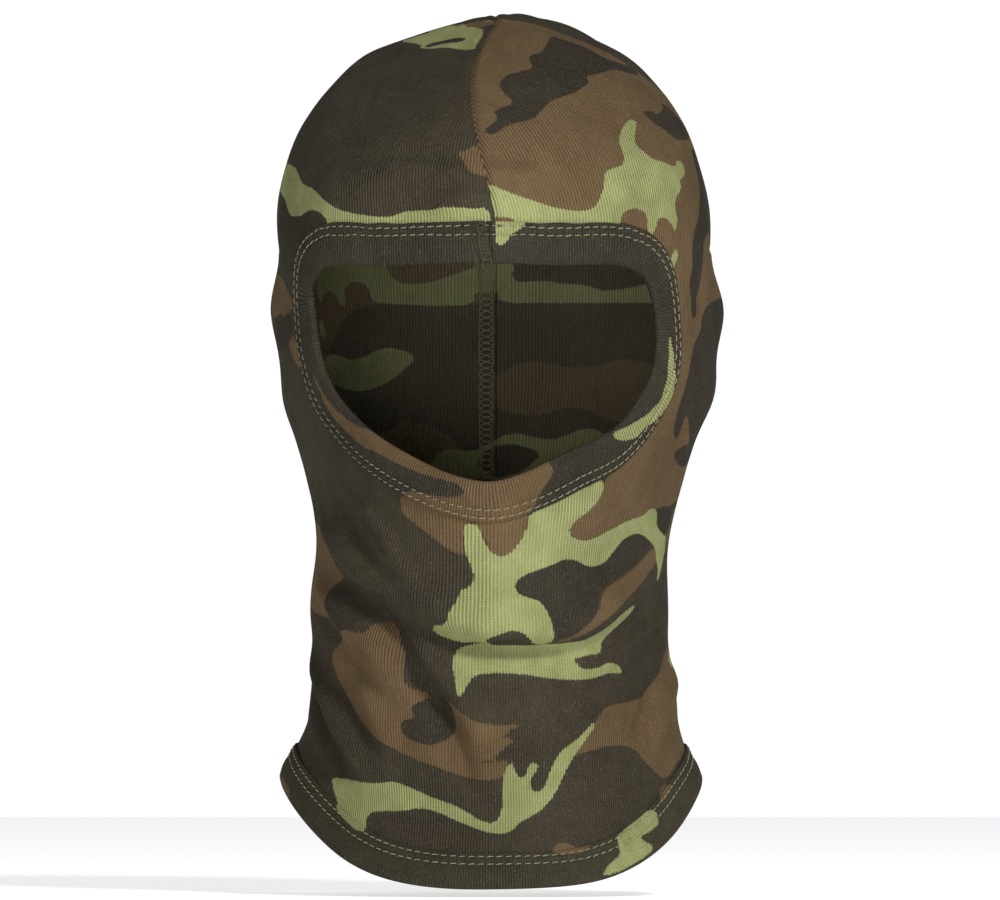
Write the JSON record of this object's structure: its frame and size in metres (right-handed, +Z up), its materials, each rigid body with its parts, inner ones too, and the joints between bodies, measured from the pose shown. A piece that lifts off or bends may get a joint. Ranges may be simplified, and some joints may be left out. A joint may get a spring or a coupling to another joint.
{
  "type": "one-hole knitted face mask",
  "caption": "Pull-over knitted mask for head and neck in a woodland pattern, with one banded opening for the eyes and nose and a banded hem.",
  "frame": {"origin": "where the inside of the crown rests on the wearer's head", "axes": "+Z up, the face looks along -Y, +X on the right of someone who looks at the face"},
  "size_m": [0.1664, 0.2085, 0.3231],
  "materials": {
    "camo_knit": "matte rib knit printed in four colours",
    "dark_rib": "matte dyed rib knit",
    "khaki_thread": "soft spun polyester sewing thread"
  },
  "bodies": {
    "root": {"body_panel": "camo_knit", "face_band": "dark_rib", "hem_band": "dark_rib", "face_band_needle_thread_outer": "khaki_thread", "face_band_needle_thread_inner": "khaki_thread", "face_band_looper_thread": "khaki_thread", "face_band_join_overlock": "khaki_thread", "hem_band_needle_thread_outer": "khaki_thread", "hem_band_needle_thread_inner": "khaki_thread", "hem_band_looper_thread": "khaki_thread", "hem_band_join_overlock": "khaki_thread", "front_crown_seam_overlock": "khaki_thread", "back_seam_overlock": "khaki_thread", "left_crown_seam_overlock": "khaki_thread", "right_crown_seam_overlock": "khaki_thread", "seam_thread_tail": "khaki_thread"}
  },
  "joints": []
}
